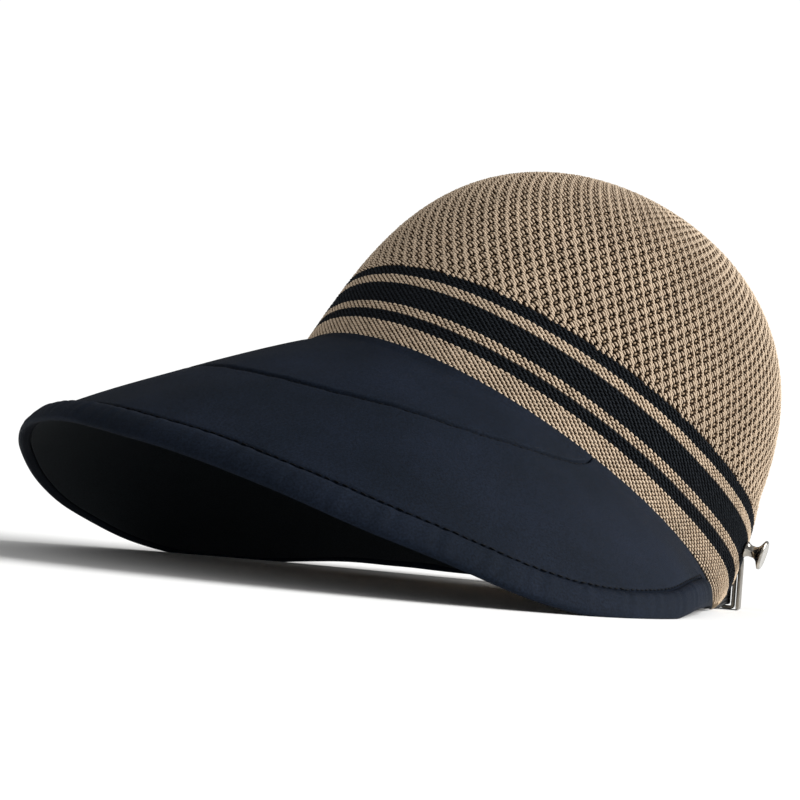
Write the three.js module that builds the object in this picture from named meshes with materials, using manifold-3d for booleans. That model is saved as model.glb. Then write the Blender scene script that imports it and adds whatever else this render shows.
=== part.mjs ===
// A wide-brimmed summer hat: a knitted crown with a striped band, a quilted cloth brim
// that tapers away at the sides, and a strap with a metal buckle across the open back.
// Units are millimetres. The hat is drawn upright in its own frame, x to the wearer's
// left, y to the back of the head and z up, then tipped back onto its rest at the end.

import * as THREE from 'three';
import { mergeVertices } from 'three/addons/utils/BufferGeometryUtils.js';
import Module from 'manifold-3d';

// Head opening and crown
const HEAD_HALF_LENGTH = 98;
const HEAD_HALF_WIDTH = 82;
const CROWN_HEIGHT = 133;
const CROWN_SIDE_POWER = 3.3;
const CROWN_TOP_POWER = 2.2;
const CROWN_LEAN = 12;
const FRONT_EDGE_RISE = 6;
const SIDE_EDGE_DIP = 1.6;
const FLARE = { most: 3.9, top: 48, power: 0.6, from: 95, full: 130 };
const KNIT = 2;
const GAP = 0.3;
const AROUND = 60;
const CROWN_ROWS = 11;

// Stripes of the band, from its lower edge up to the open knit
const STRIPES = [
  { name: 'band_hem_stripe', from: 0, to: 8.5, tone: 'beige' },
  { name: 'band_dark_stripe_low', from: 8.5, to: 13.1, tone: 'dark' },
  { name: 'band_beige_stripe_low', from: 13.1, to: 16.8, tone: 'beige' },
  { name: 'band_dark_stripe_wide', from: 16.8, to: 26.4, tone: 'dark' },
  { name: 'band_beige_stripe_high', from: 26.4, to: 30.4, tone: 'beige' },
  { name: 'band_dark_stripe_high', from: 30.4, to: 35, tone: 'dark' },
];
const BAND_HEIGHT = 35;

// Opening at the back of the head, seen from behind
const OPENING_HALF_WIDTH = 49.5;
const OPENING_SHOULDER = { half: 48, height: 32 };
const OPENING_CROWN = { half: 34, height: 57 };
const OPENING_BELOW = 12;
const OPENING_FROM = 24;
const OPENING_STEPS = 10;

// Brim, measured from the band outwards, the same on both sides of the face
const BRIM_SECTIONS = [
  { azimuth: 0, width: 112, slope: 47.5 },
  { azimuth: 25, width: 110, slope: 48.5 },
  { azimuth: 50, width: 107, slope: 47 },
  { azimuth: 70, width: 93, slope: 45.5 },
  { azimuth: 85, width: 67, slope: 43.5 },
  { azimuth: 97, width: 42, slope: 42.5 },
  { azimuth: 110, width: 22.5, slope: 46.5 },
  { azimuth: 124, width: 9, slope: 52 },
  { azimuth: 137, width: 2.4, slope: 54 },
];
const BRIM_END = 137;
const HEM_STEPS = 38;
const PANEL_STEPS = 36;
const CRESCENT_STEPS = 20;
const BRIM_ARCH = 0.018;
const BRIM_TUCK = 0.6;
const PANEL_THICKNESS = 1.4;
const LINING_THICKNESS = 1.2;
const CRESCENT_DEPTH = 54;
const CRESCENT_END = 74;
const CRESCENT_POWER = 0.75;
const HEM_WIDTH = 12;
const HEM_FULL_AT = 18;
const LINING_SHORT_OF_EDGE = 4;
const PARTS_ACROSS = { inner: 3, outer: 4, lining: 5 };
const LINING_EDGE = HEM_WIDTH - LINING_SHORT_OF_EDGE;
const BRIM_THICKNESS = PANEL_THICKNESS + GAP + LINING_THICKNESS;

// The hem from the seam over its padded face, round the edge and back to the seam
const HEM_OUTLINE = [
  { across: 0, up: 0, turned: false },
  { across: 1.5, up: 1.2, turned: true },
  { across: 4.5, up: 2, turned: true },
  { across: 8, up: 1.7, turned: true },
  { across: 10.8, up: 0.5, turned: true },
  { across: HEM_WIDTH, up: -1.2, turned: true },
  { across: 11.2, up: -2.6, turned: true },
  { across: LINING_EDGE + 1, up: -BRIM_THICKNESS, turned: true },
  { across: LINING_EDGE, up: -BRIM_THICKNESS, turned: false },
  { across: LINING_EDGE, up: -PANEL_THICKNESS, turned: false },
  { across: 0, up: -PANEL_THICKNESS, turned: false },
];

// Strap, buckle and stud
const STRAP_HEIGHT = 17;
const STRAP_THICKNESS = 1.8;
const STRAP_INSET = 4.8;
const STRAP_ANCHOR_AZIMUTHS = [131, 138, 145];
const STRAP_BACK = [
  { x: 44, y: 86 },
  { x: 41.5, y: 93 },
  { x: 32.5, y: 103 },
  { x: 18, y: 108 },
  { x: 0, y: 109.5 },
];
const STRAP_LEAN_FROM = 79;
const STRAP_LEAN_TO = 94;
const STRAP_STEPS = 56;
const TAB_LENGTH = 0.1;
const TAB_INSET = 0.01;
const TAB_HEIGHT = 15;
const TAB_THICKNESS = 1;
const TAB_LIFT = 0.8;
const TAB_ROUND = 0.3;
const TAB_STEPS = 8;
const BUCKLE_PLACE = 0.735;
const BUCKLE_REACH = { full: 0.035, none: 0.09 };
const BUCKLE_CLEAR = 0.5;
const BUCKLE = { length: 7, height: 20.4, depth: 5.4, wall: 1.2 };
const PLATE = { length: 15, height: 20.4, thickness: 1.2, standoff: 4.2 };
const STUD_AZIMUTH = 131;
const STUD_HEIGHT = 21.6;
const STUD_SIDES = 20;

// The stud from the middle of its foot to the middle of its face
const STUD_PROFILE = [
  { radius: 0, height: 0.3 },
  { radius: 3.1, height: 0.3 },
  { radius: 3.1, height: 1.1 },
  { radius: 2.2, height: 2.6 },
  { radius: 2.2, height: 4.2 },
  { radius: 3.4, height: 5.6 },
  { radius: 5.7, height: 6.8 },
  { radius: 5.7, height: 7.6 },
  { radius: 5.2, height: 8 },
  { radius: 0, height: 7.7 },
];

// Rest: the hat tips back until the brim's sides and the strap meet the surface
const REST_PITCH = 26;
const REST_SQUASH = 1.05;

const wasm = await Module();
wasm.setup();

const radians = THREE.MathUtils.degToRad;

// Points on the head

function outward(azimuth) {
  const x = Math.sin(azimuth) / HEAD_HALF_WIDTH;
  const y = -Math.cos(azimuth) / HEAD_HALF_LENGTH;
  return new THREE.Vector3(x, y, 0).normalize();
}

// Behind the ears the band bulges out over its drawn-in lower edge
function flare(azimuth, height) {
  const turn = THREE.MathUtils.radToDeg(Math.abs(azimuth));
  const climb = THREE.MathUtils.clamp(height / FLARE.top, 0, 1) ** FLARE.power;
  return FLARE.most * THREE.MathUtils.smoothstep(turn, FLARE.from, FLARE.full)
    * Math.sin(Math.PI * climb);
}

function headPoint(azimuth, radius, height) {
  const rise = height / CROWN_HEIGHT;
  const edge = FRONT_EDGE_RISE * Math.cos(azimuth) + SIDE_EDGE_DIP * Math.cos(2 * azimuth);
  const x = radius * (HEAD_HALF_WIDTH / HEAD_HALF_LENGTH) * Math.sin(azimuth);
  const y = -radius * Math.cos(azimuth) + CROWN_LEAN * rise;
  const point = new THREE.Vector3(x, y, height + edge * (1 - rise));
  return point.addScaledVector(outward(azimuth), flare(azimuth, height));
}

function crownRadius(height) {
  const rise = THREE.MathUtils.clamp(height / CROWN_HEIGHT, 0, 1);
  return HEAD_HALF_LENGTH * (1 - rise ** CROWN_SIDE_POWER) ** (1 / CROWN_TOP_POWER);
}

// Solids

function toManifold(geometry) {
  const bare = geometry.clone();
  bare.deleteAttribute('normal');
  bare.deleteAttribute('uv');
  const merged = mergeVertices(bare, 1e-4);
  const vertProperties = new Float32Array(merged.attributes.position.array);
  const triVerts = new Uint32Array(merged.index.array);
  return new wasm.Manifold(new wasm.Mesh({ numProp: 3, vertProperties, triVerts }));
}

function fromManifold(solid) {
  const mesh = solid.getMesh();
  const geometry = new THREE.BufferGeometry();
  geometry.setAttribute('position', new THREE.BufferAttribute(mesh.vertProperties, 3));
  geometry.setIndex(new THREE.BufferAttribute(mesh.triVerts, 1));
  geometry.computeVertexNormals();
  return geometry;
}

// A section carried along stations: each outline runs clockwise with the same number of points
function sweep(stations, sectionAt, place) {
  const outlines = stations.map(sectionAt);
  const count = outlines[0].length;
  const positions = [];
  stations.forEach((station, i) => {
    outlines[i].forEach((point) => positions.push(...place(station, point).toArray()));
  });
  const index = [];
  for (let i = 0; i < stations.length - 1; i += 1) {
    for (let j = 0; j < count; j += 1) {
      const a = i * count + j;
      const b = i * count + (j + 1) % count;
      index.push(a, b, b + count, a, b + count, a + count);
    }
  }
  const last = (stations.length - 1) * count;
  THREE.ShapeUtils.triangulateShape(outlines[0], []).forEach(([a, b, c]) => index.push(a, b, c));
  THREE.ShapeUtils.triangulateShape(outlines.at(-1), []).forEach(([a, b, c]) => {
    index.push(last + a, last + c, last + b);
  });
  const geometry = new THREE.BufferGeometry();
  geometry.setAttribute('position', new THREE.Float32BufferAttribute(positions, 3));
  geometry.setIndex(index);
  geometry.computeVertexNormals();
  return geometry;
}

// A closed profile of radius and height, turned around the head and fitted to its oval
function aroundHead(profile) {
  const geometry = new THREE.LatheGeometry(profile, AROUND);
  const position = geometry.attributes.position;
  for (let i = 0; i < position.count; i += 1) {
    const azimuth = Math.atan2(position.getX(i), position.getZ(i));
    const radius = Math.hypot(position.getX(i), position.getZ(i));
    position.setXYZ(i, ...headPoint(azimuth, radius, position.getY(i)).toArray());
  }
  return toManifold(geometry);
}

function evenly(from, to, steps) {
  return Array.from({ length: steps + 1 }, (_, i) => from + (to - from) * i / steps);
}

// The opening at the back, as a block to cut away

function makeOpening() {
  const shape = new THREE.Shape();
  shape.moveTo(-OPENING_HALF_WIDTH, -OPENING_BELOW);
  shape.lineTo(OPENING_HALF_WIDTH, -OPENING_BELOW);
  shape.lineTo(OPENING_HALF_WIDTH, -FRONT_EDGE_RISE);
  shape.bezierCurveTo(OPENING_SHOULDER.half, OPENING_SHOULDER.height,
    OPENING_CROWN.half, OPENING_CROWN.height, 0, OPENING_CROWN.height);
  shape.bezierCurveTo(-OPENING_CROWN.half, OPENING_CROWN.height,
    -OPENING_SHOULDER.half, OPENING_SHOULDER.height, -OPENING_HALF_WIDTH, -FRONT_EDGE_RISE);
  const block = new THREE.ExtrudeGeometry(shape, {
    depth: HEAD_HALF_LENGTH, bevelEnabled: false, curveSegments: OPENING_STEPS,
  });
  block.rotateX(Math.PI / 2);
  block.translate(0, OPENING_FROM + HEAD_HALF_LENGTH, 0);
  return toManifold(block);
}

const opening = makeOpening();

// Crown and band

function makeCrown() {
  const start = Math.asin((BAND_HEIGHT + GAP) ** (CROWN_SIDE_POWER / 2)
    / CROWN_HEIGHT ** (CROWN_SIDE_POWER / 2));
  const shellPoint = (angle, inset) => new THREE.Vector2(
    Math.abs(Math.cos(angle)) ** (2 / CROWN_TOP_POWER) * (HEAD_HALF_LENGTH - inset),
    Math.sin(angle) ** (2 / CROWN_SIDE_POWER) * (CROWN_HEIGHT - inset),
  );
  const angles = evenly(start, Math.PI / 2, CROWN_ROWS);
  const outer = angles.map((angle) => shellPoint(angle, 0));
  const inner = angles.map((angle) => shellPoint(angle, KNIT));
  inner[0].y = outer[0].y;
  outer.at(-1).x = 0;
  inner.at(-1).x = 0;
  return fromManifold(aroundHead([...inner.reverse(), ...outer]).subtract(opening));
}

function makeStripe(from, to) {
  const low = from === 0 ? 0 : from + GAP;
  const profile = [
    new THREE.Vector2(crownRadius(low) - KNIT, low),
    new THREE.Vector2(crownRadius(low), low),
    new THREE.Vector2(crownRadius(to), to),
    new THREE.Vector2(crownRadius(to) - KNIT, to),
    new THREE.Vector2(crownRadius(low) - KNIT, low),
  ];
  return fromManifold(aroundHead(profile).subtract(opening));
}

// Brim

function smoothTable(rows, column) {
  const places = rows.map((row) => row.azimuth);
  const values = rows.map((row) => row[column]);
  const curve = new THREE.CubicInterpolant(places, values, 1, new Float32Array(1));
  curve.settings = { endingStart: THREE.ZeroSlopeEnding, endingEnd: THREE.ZeroCurvatureEnding };
  return (azimuth) => curve.evaluate(Math.abs(azimuth))[0];
}

const brimWidth = smoothTable(BRIM_SECTIONS, 'width');
const brimSlope = smoothTable(BRIM_SECTIONS, 'slope');

// A point this far from the band across the brim, and this far above the brim's face
function brimPoint(azimuth, point) {
  const turn = radians(azimuth);
  const slope = radians(brimSlope(azimuth));
  const share = point.x / brimWidth(azimuth);
  const arch = BRIM_ARCH * brimWidth(azimuth) * 4 * share * (1 - share);
  const out = outward(turn);
  const up = new THREE.Vector3(0, 0, 1);
  return headPoint(turn, HEAD_HALF_LENGTH - BRIM_TUCK, 0)
    .addScaledVector(out, Math.cos(slope) * point.x + Math.sin(slope) * (point.y + arch))
    .addScaledVector(up, -Math.sin(slope) * point.x + Math.cos(slope) * (point.y + arch) - BRIM_TUCK);
}

function hemWidth(azimuth) {
  return HEM_WIDTH * Math.min(1, brimWidth(azimuth) / HEM_FULL_AT);
}

// The hem's outline, narrowed with the brim where that is too narrow for all of it
function hemOutline(azimuth) {
  const size = hemWidth(azimuth) / HEM_WIDTH;
  const seam = brimWidth(azimuth) - hemWidth(azimuth);
  return HEM_OUTLINE.map(({ across, up, turned }) => (
    new THREE.Vector2(seam + across * size, turned ? up * size : up)));
}

const restNormal = new THREE.Vector3(0, -Math.sin(radians(REST_PITCH)), Math.cos(radians(REST_PITCH)));
const hemHeights = evenly(-BRIM_END, BRIM_END, 2 * HEM_STEPS).flatMap((azimuth) => (
  hemOutline(azimuth).map((point) => brimPoint(azimuth, point).dot(restNormal))));
const restLevel = Math.min(...hemHeights) + REST_SQUASH;

// Cloth that would reach below the surface is pressed flat on it
function pressed(point) {
  const below = restLevel - point.dot(restNormal);
  return below > 0 ? point.addScaledVector(restNormal, below) : point;
}

function crescentDepth(azimuth) {
  const share = Math.min(Math.abs(azimuth) / CRESCENT_END, 1);
  return CRESCENT_DEPTH * (1 - share ** 2) ** CRESCENT_POWER;
}

// Outline of one layer of cloth between two distances from the band
function layer(from, to, top, thickness, parts) {
  const upper = evenly(from, to, parts).map((across) => new THREE.Vector2(across, top));
  const lower = evenly(to, from, parts).map((across) => new THREE.Vector2(across, top - thickness));
  return [...upper, ...lower];
}

// Layers share their stations, so that neighbours keep the same gap all round
function brimLayer(steps, sectionAt) {
  const end = BRIM_END * steps / HEM_STEPS;
  const place = (azimuth, point) => pressed(brimPoint(azimuth, point));
  return sweep(evenly(-end, end, 2 * steps), sectionAt, place);
}

function makeInnerPanel() {
  return brimLayer(CRESCENT_STEPS, (azimuth) => (
    layer(0, crescentDepth(azimuth) - GAP / 2, 0, PANEL_THICKNESS, PARTS_ACROSS.inner)));
}

function makeOuterPanel() {
  return brimLayer(PANEL_STEPS, (azimuth) => {
    const depth = crescentDepth(azimuth);
    const seam = depth > 0 ? depth + GAP / 2 : 0;
    const hem = brimWidth(azimuth) - hemWidth(azimuth);
    return layer(seam, hem - GAP / 2, 0, PANEL_THICKNESS, PARTS_ACROSS.outer);
  });
}

function makeLining() {
  const top = -PANEL_THICKNESS - GAP;
  return brimLayer(PANEL_STEPS, (azimuth) => {
    const margin = LINING_SHORT_OF_EDGE * hemWidth(azimuth) / HEM_WIDTH;
    return layer(0, brimWidth(azimuth) - margin - GAP, top, LINING_THICKNESS, PARTS_ACROSS.lining);
  });
}

// The padded hem: a roll from the seam round the edge to where the lining stops
function makeHem() {
  return brimLayer(HEM_STEPS, hemOutline);
}

// Strap, laid from the band's right end round the back to its left end

function strapRoute() {
  const anchors = STRAP_ANCHOR_AZIMUTHS.map((azimuth) => {
    const turn = radians(azimuth);
    const point = headPoint(turn, HEAD_HALF_LENGTH, 0).addScaledVector(outward(turn), -STRAP_INSET);
    return new THREE.Vector3(point.x, point.y, 0);
  });
  const left = [...anchors, ...STRAP_BACK.map(({ x, y }) => new THREE.Vector3(x, y, 0))];
  const right = left.map((point) => new THREE.Vector3(-point.x, point.y, 0));
  return new THREE.CatmullRomCurve3([...right, ...left.slice(0, -1).reverse()], false, 'centripetal');
}

const route = strapRoute();

function routeOut(share) {
  const along = route.getTangentAt(share);
  return new THREE.Vector3(-along.y, along.x, 0);
}

// The strap rides up over the lower bar of the buckle
function liftAtBuckle(share) {
  const distance = Math.abs(share - BUCKLE_PLACE);
  const away = THREE.MathUtils.smoothstep(distance, BUCKLE_REACH.full, BUCKLE_REACH.none);
  return ((BUCKLE.height - STRAP_HEIGHT) / 2 + BUCKLE_CLEAR) * (1 - away);
}

// A point this high on the strap, and this far outside its middle plane
function strapPoint(share, point) {
  const base = route.getPointAt(share);
  const surface = (restLevel - base.y * restNormal.y) / restNormal.z;
  const edge = headPoint(radians(STRAP_ANCHOR_AZIMUTHS.at(-1)), HEAD_HALF_LENGTH, 0).z;
  base.z = Math.max(surface, edge) + liftAtBuckle(share);
  const lean = THREE.MathUtils.smoothstep(base.y, STRAP_LEAN_FROM, STRAP_LEAN_TO);
  const rise = new THREE.Vector3(0, 0, 1).lerp(restNormal, lean).normalize();
  const out = routeOut(share).projectOnPlane(rise).normalize();
  return pressed(base.addScaledVector(rise, point.x).addScaledVector(out, point.y));
}

function bandSection(low, high, inner, outer) {
  return [
    new THREE.Vector2(low, inner),
    new THREE.Vector2(low, outer),
    new THREE.Vector2(high, outer),
    new THREE.Vector2(high, inner),
  ];
}

function makeStrap() {
  const half = STRAP_THICKNESS / 2;
  const section = () => bandSection(0, STRAP_HEIGHT, -half, half);
  return sweep(evenly(0, 1, STRAP_STEPS), section, strapPoint);
}

// A short tab with a rounded end, sewn over one end of the strap
function makeTab(from, to) {
  const face = STRAP_THICKNESS / 2 + GAP;
  const middle = TAB_HEIGHT / 2 + TAB_LIFT;
  const section = (share) => {
    const toEnd = 1 - Math.min(share, 1 - share) / TAB_LENGTH;
    const round = Math.sqrt(1 - Math.max(0, 1 - toEnd / TAB_ROUND) ** 2);
    const half = Math.max(TAB_HEIGHT / 2 * round, TAB_THICKNESS);
    return bandSection(middle - half, middle + half, face, face + TAB_THICKNESS);
  };
  return sweep(evenly(from, to, TAB_STEPS), section, strapPoint);
}

// Hardware on the strap, placed by its own axes: x along the strap, y up it, z outwards
function strapAxes(share) {
  const foot = strapPoint(share, new THREE.Vector2(0, 0));
  const head = strapPoint(share, new THREE.Vector2(STRAP_HEIGHT, 0));
  const up = head.sub(foot).normalize();
  const along = route.getTangentAt(share).negate();
  const out = new THREE.Vector3().crossVectors(along, up).normalize();
  along.crossVectors(up, out);
  const middle = strapPoint(share, new THREE.Vector2(STRAP_HEIGHT / 2, 0));
  return new THREE.Matrix4().makeBasis(along, up, out).setPosition(middle);
}

function frameOutline(width, height, wall) {
  const shape = new THREE.Shape();
  shape.moveTo(-width / 2, -height / 2);
  shape.lineTo(width / 2, -height / 2);
  shape.lineTo(width / 2, height / 2);
  shape.lineTo(-width / 2, height / 2);
  const hole = new THREE.Path();
  hole.moveTo(-width / 2 + wall, -height / 2 + wall);
  hole.lineTo(-width / 2 + wall, height / 2 - wall);
  hole.lineTo(width / 2 - wall, height / 2 - wall);
  hole.lineTo(width / 2 - wall, -height / 2 + wall);
  shape.holes.push(hole);
  return shape;
}

function makeBuckleFrame() {
  const shape = frameOutline(BUCKLE.depth, BUCKLE.height, BUCKLE.wall);
  const geometry = new THREE.ExtrudeGeometry(shape, { depth: BUCKLE.length, bevelEnabled: false });
  geometry.translate(0, 0, -BUCKLE.length / 2);
  geometry.rotateY(Math.PI / 2);
  return geometry.applyMatrix4(strapAxes(BUCKLE_PLACE));
}

function makeBucklePlate() {
  const geometry = new THREE.BoxGeometry(PLATE.length, PLATE.height, PLATE.thickness, 2, 2, 1);
  geometry.translate(0, 0, PLATE.standoff);
  return geometry.applyMatrix4(strapAxes(BUCKLE_PLACE));
}

// A spool-shaped stud: its foot on the band, its round head standing off
function makeStud() {
  const profile = STUD_PROFILE.map(({ radius, height }) => new THREE.Vector2(radius, height));
  const geometry = new THREE.LatheGeometry(profile, STUD_SIDES);
  const out = outward(radians(STUD_AZIMUTH));
  const turn = new THREE.Quaternion().setFromUnitVectors(new THREE.Vector3(0, 1, 0), out);
  const place = headPoint(radians(STUD_AZIMUTH), crownRadius(STUD_HEIGHT), STUD_HEIGHT);
  geometry.applyQuaternion(turn);
  geometry.translate(place.x, place.y, place.z);
  return geometry;
}

// Assembly

const LOOKS = {
  beige: { color: '#a68d6b', roughness: 0.9, metalness: 0 },
  dark: { color: '#12151c', roughness: 0.85, metalness: 0 },
  navy: { color: '#1f2733', roughness: 0.7, metalness: 0 },
  black: { color: '#0b0c0f', roughness: 0.8, metalness: 0 },
  grey: { color: '#2b2d2f', roughness: 0.7, metalness: 0 },
  metal: { color: '#8b867c', roughness: 0.25, metalness: 1 },
};

const hat = new THREE.Group();

function addPiece(name, geometry, tone) {
  const mesh = new THREE.Mesh(geometry, new THREE.MeshStandardMaterial(LOOKS[tone]));
  mesh.name = name;
  hat.add(mesh);
}

addPiece('crown_mesh', makeCrown(), 'beige');
STRIPES.forEach(({ name, from, to, tone }) => addPiece(name, makeStripe(from, to), tone));
addPiece('brim_inner_panel', makeInnerPanel(), 'navy');
addPiece('brim_outer_panel', makeOuterPanel(), 'navy');
addPiece('brim_lining', makeLining(), 'black');
addPiece('brim_hem', makeHem(), 'navy');
addPiece('strap', makeStrap(), 'black');
addPiece('strap_tab_left', makeTab(1 - TAB_LENGTH, 1 - TAB_INSET), 'grey');
addPiece('strap_tab_right', makeTab(TAB_INSET, TAB_LENGTH), 'grey');
addPiece('buckle_frame', makeBuckleFrame(), 'metal');
addPiece('buckle_plate', makeBucklePlate(), 'metal');
addPiece('stud', makeStud(), 'metal');

// Tip the hat back, then stand it on the middle of its own footprint
hat.rotation.x = -radians(REST_PITCH);
const extent = new THREE.Box3().setFromObject(hat, true);
const middle = extent.getCenter(new THREE.Vector3());
hat.position.set(-middle.x, -middle.y, -extent.min.z);

const part = new THREE.Group();
part.add(hat);

export default part;
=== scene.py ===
# A wide-brimmed summer hat at rest on a pale floor. Lengths are in millimetres until a
# piece is shaped; the hat is drawn upright in its own frame, as its pattern is, x to the
# wearer's left, y to the back of the head and z up, then tipped back onto its rest.

import math

import bpy
import numpy as np
from mathutils import Euler, Matrix, Vector


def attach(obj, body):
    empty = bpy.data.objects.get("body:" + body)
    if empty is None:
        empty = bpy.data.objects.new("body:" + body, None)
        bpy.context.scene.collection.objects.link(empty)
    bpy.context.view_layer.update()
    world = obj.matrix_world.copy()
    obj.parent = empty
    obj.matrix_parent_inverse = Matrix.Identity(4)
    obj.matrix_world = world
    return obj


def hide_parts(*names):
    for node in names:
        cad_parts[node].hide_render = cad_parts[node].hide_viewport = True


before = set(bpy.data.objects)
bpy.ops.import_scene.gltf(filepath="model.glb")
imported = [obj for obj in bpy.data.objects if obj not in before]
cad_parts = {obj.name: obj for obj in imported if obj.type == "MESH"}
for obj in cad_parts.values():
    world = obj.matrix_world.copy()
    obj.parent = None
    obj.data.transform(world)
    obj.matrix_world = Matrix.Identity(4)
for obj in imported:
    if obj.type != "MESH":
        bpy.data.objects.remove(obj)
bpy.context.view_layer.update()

# Camera, floor and light
# The camera stands low on the wearer's left and looks slightly up, as in the photograph.
# The floor is matt white paper that runs out of sight into white air; a broad key light
# comes from behind the left shoulder, a weaker one from in front.


def table(columns, rows):
    """Rows of values, each as a dictionary with these columns."""
    return [dict(zip(columns.split(), row)) for row in rows]


MM = 0.001
CAMERA_PLACE = (469.776, -340.852, 20.574)
CAMERA_AZIMUTH = 55.545
CAMERA_ELEVATION = -4.728
CAMERA_ROLL = 5.395
CAMERA_LENS = 68.64
FLOOR_SIZE = 60
LIGHTS = table("name azimuth elevation angle strength", [
    ("key", 138, 29, 44, 5),
    ("fill", 5, 50, 60, 0.15),
])
AIR = "#ffffff"
AIR_STRENGTH = {"lighting": 0.34, "seen": 1.05}
PAPER = "#fbfbfa"


def linear(colour):
    """An sRGB hex colour as the linear values that shaders take."""
    shares = [int(colour[i:i + 2], 16) / 255 for i in (1, 3, 5)]
    return [c / 12.92 if c <= 0.04045 else ((c + 0.055) / 1.055) ** 2.4 for c in shares] + [1]


def add_node(material, kind, inputs=None, stops=(), **settings):
    """Adds a node. An input is a value to set, an output to link, or a node to link by its
    first output; the stops of a colour ramp are pairs of a place and an sRGB colour."""
    made = material.node_tree.nodes.new(f"ShaderNode{kind}")
    for name, value in settings.items():
        setattr(made, name, value)
    for name, value in (inputs or {}).items():
        if isinstance(value, bpy.types.Node):
            value = value.outputs[0]
        if isinstance(value, bpy.types.NodeSocket):
            material.node_tree.links.new(value, made.inputs[name])
        else:
            made.inputs[name].default_value = value
    for i, (place, colour) in enumerate(stops):
        ramp = made.color_ramp.elements
        stop = ramp.new(place) if i == len(ramp) else ramp[i]
        stop.position = place
        stop.color = linear(colour)
    return made


def new_material(name):
    material = bpy.data.materials.new(name)
    material.use_nodes = True
    material.node_tree.nodes.clear()
    return material


def speckle(material, per_metre, detail=2):
    """Unevenness that stays put on the piece, with about this many specks to the metre."""
    where = add_node(material, "TexCoord")
    return add_node(material, "TexNoise", {"Vector": where.outputs["Object"],
                                           "Scale": per_metre, "Detail": detail})


def surface(material, finish):
    """Gives a material its shader, with these inputs."""
    shader = add_node(material, "BsdfPrincipled", finish)
    add_node(material, "OutputMaterial", {"Surface": shader})
    return material


def facing(azimuth, elevation, roll=0):
    """The rotation of a camera or light that looks back at the hat from this direction."""
    level = Euler((math.radians(90 - elevation), 0, math.radians(azimuth))).to_matrix()
    return (level @ Matrix.Rotation(math.radians(roll), 3, "Z")).to_euler()


def make_paper():
    """Matt white background paper: no gloss, with the faintest mottling of its pulp."""
    paper = new_material("matt white background paper")
    tooth = add_node(paper, "Bump", {"Height": speckle(paper, 400), "Distance": 0.05 * MM,
                                     "Strength": 0.2})
    return surface(paper, {"Base Color": linear(PAPER), "Roughness": 0.95, "Normal": tooth})


def make_air():
    """White air, dimmer as a light than it is to the eye, so that the lamps shape the hat."""
    air = bpy.data.worlds.new("studio air")
    air.use_nodes = True
    air.node_tree.nodes.clear()
    lit, seen = [add_node(air, "Background", {"Color": linear(AIR), "Strength": strength})
                 for strength in (AIR_STRENGTH["lighting"], AIR_STRENGTH["seen"])]
    ray = add_node(air, "LightPath")
    both = add_node(air, "MixShader", {0: ray.outputs["Is Camera Ray"], 1: lit, 2: seen})
    add_node(air, "OutputWorld", {"Surface": both})
    return air


camera = bpy.data.objects.new("camera", bpy.data.cameras.new("camera"))
camera.data.lens = CAMERA_LENS
camera.location = [length * MM for length in CAMERA_PLACE]
camera.rotation_euler = facing(CAMERA_AZIMUTH, CAMERA_ELEVATION, CAMERA_ROLL)
bpy.context.scene.collection.objects.link(camera)
bpy.context.scene.camera = camera

for light in LIGHTS:
    lamp = bpy.data.objects.new(light["name"], bpy.data.lights.new(light["name"], "SUN"))
    lamp.data.angle = math.radians(light["angle"])
    lamp.data.energy = light["strength"]
    lamp.rotation_euler = facing(light["azimuth"], light["elevation"])
    bpy.context.scene.collection.objects.link(lamp)

bpy.ops.object.select_all(action="DESELECT")
bpy.ops.mesh.primitive_plane_add(size=FLOOR_SIZE)
floor = bpy.context.object
floor.name = "floor"
floor.data.materials.append(make_paper())

bpy.context.scene.world = make_air()
bpy.context.scene.view_settings.view_transform = "Standard"

# Crown
# A dome knitted in beige cotton yarn. Slanting stitches climb it in pairs of wavy strands
# that part round small holes in staggered rows; a knob of tucked yarn sits in each hole.

HEAD_HALF_LENGTH = 98
HEAD_HALF_WIDTH = 82
CROWN_HEIGHT = 133
CROWN_SIDE_POWER = 3.3
CROWN_TOP_POWER = 2.2
CROWN_LEAN = 12
FRONT_EDGE_RISE = 6
SIDE_EDGE_DIP = 1.6
FLARE = {"most": 3.9, "top": 48, "power": 0.6, "from": 95, "full": 130}
PROFILE_STEPS = 800
OVAL_STEPS = 1441
AXIS_REACH = 0.4
HAT_PITCH = math.radians(26)
HAT_PLACE = (0, 33.0727, 38.2597)

OPENING_HALF_WIDTH = 49.5
OPENING_SHOULDER = {"half": 48, "height": 32}
OPENING_CROWN = {"half": 34, "height": 57}
OPENING_BEHIND = 24
OPENING_MOST = 0.2
OPENING_STEPS = {"edge": 60, "shares": 1001}
HEM_MARGIN = 3.2
GROUND_MARGIN = 1.5

HOLES_AROUND = 116
FIRST_ROW = 3.9
ROW_PITCH = 3.36
ROW_GROWTH = 0.019
BAND_TOP = 35
KNIT = 2
COURSE = 1.06
STITCH_COLUMNS = 2 * HOLES_AROUND
COURSES_PER_HOLE = 3
STRAND_APART = 0.25
STRAND_SWAY = 0.15
STRAND_BEND = 0.7
STRANDS_PART = {"from": -1.2, "full": -0.3}
STRAND_LIFT = -0.42
LOOP_LIFT = -0.8
LOOP_RISE = 0.06
GROUND_LIFT = {"crown": -1.35, "band": -0.62}
GROUND_COLUMNS = 200
CROWN_STITCH = {"length": 2.5, "height": 1.12, "depth": 1.0, "tilt": -22, "dive": 10}
TUCK_LOOP = {"length": 1.5, "height": 1.15, "depth": 1.0, "tilt": 60, "dive": 0}
YARN_SIDES = 5
GROOVE_SLANT = 0.08
CROWN_GROOVE_SHADE = 0.62
BAND_GROOVE_SHADE = 0.4
KNIT_SLANT = 0.7
KNIT_ROUNDNESS = 0.5
JITTER = {"turn": 5, "size": 0.06, "lift": 0.05}
MERGE = 0.01
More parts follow.
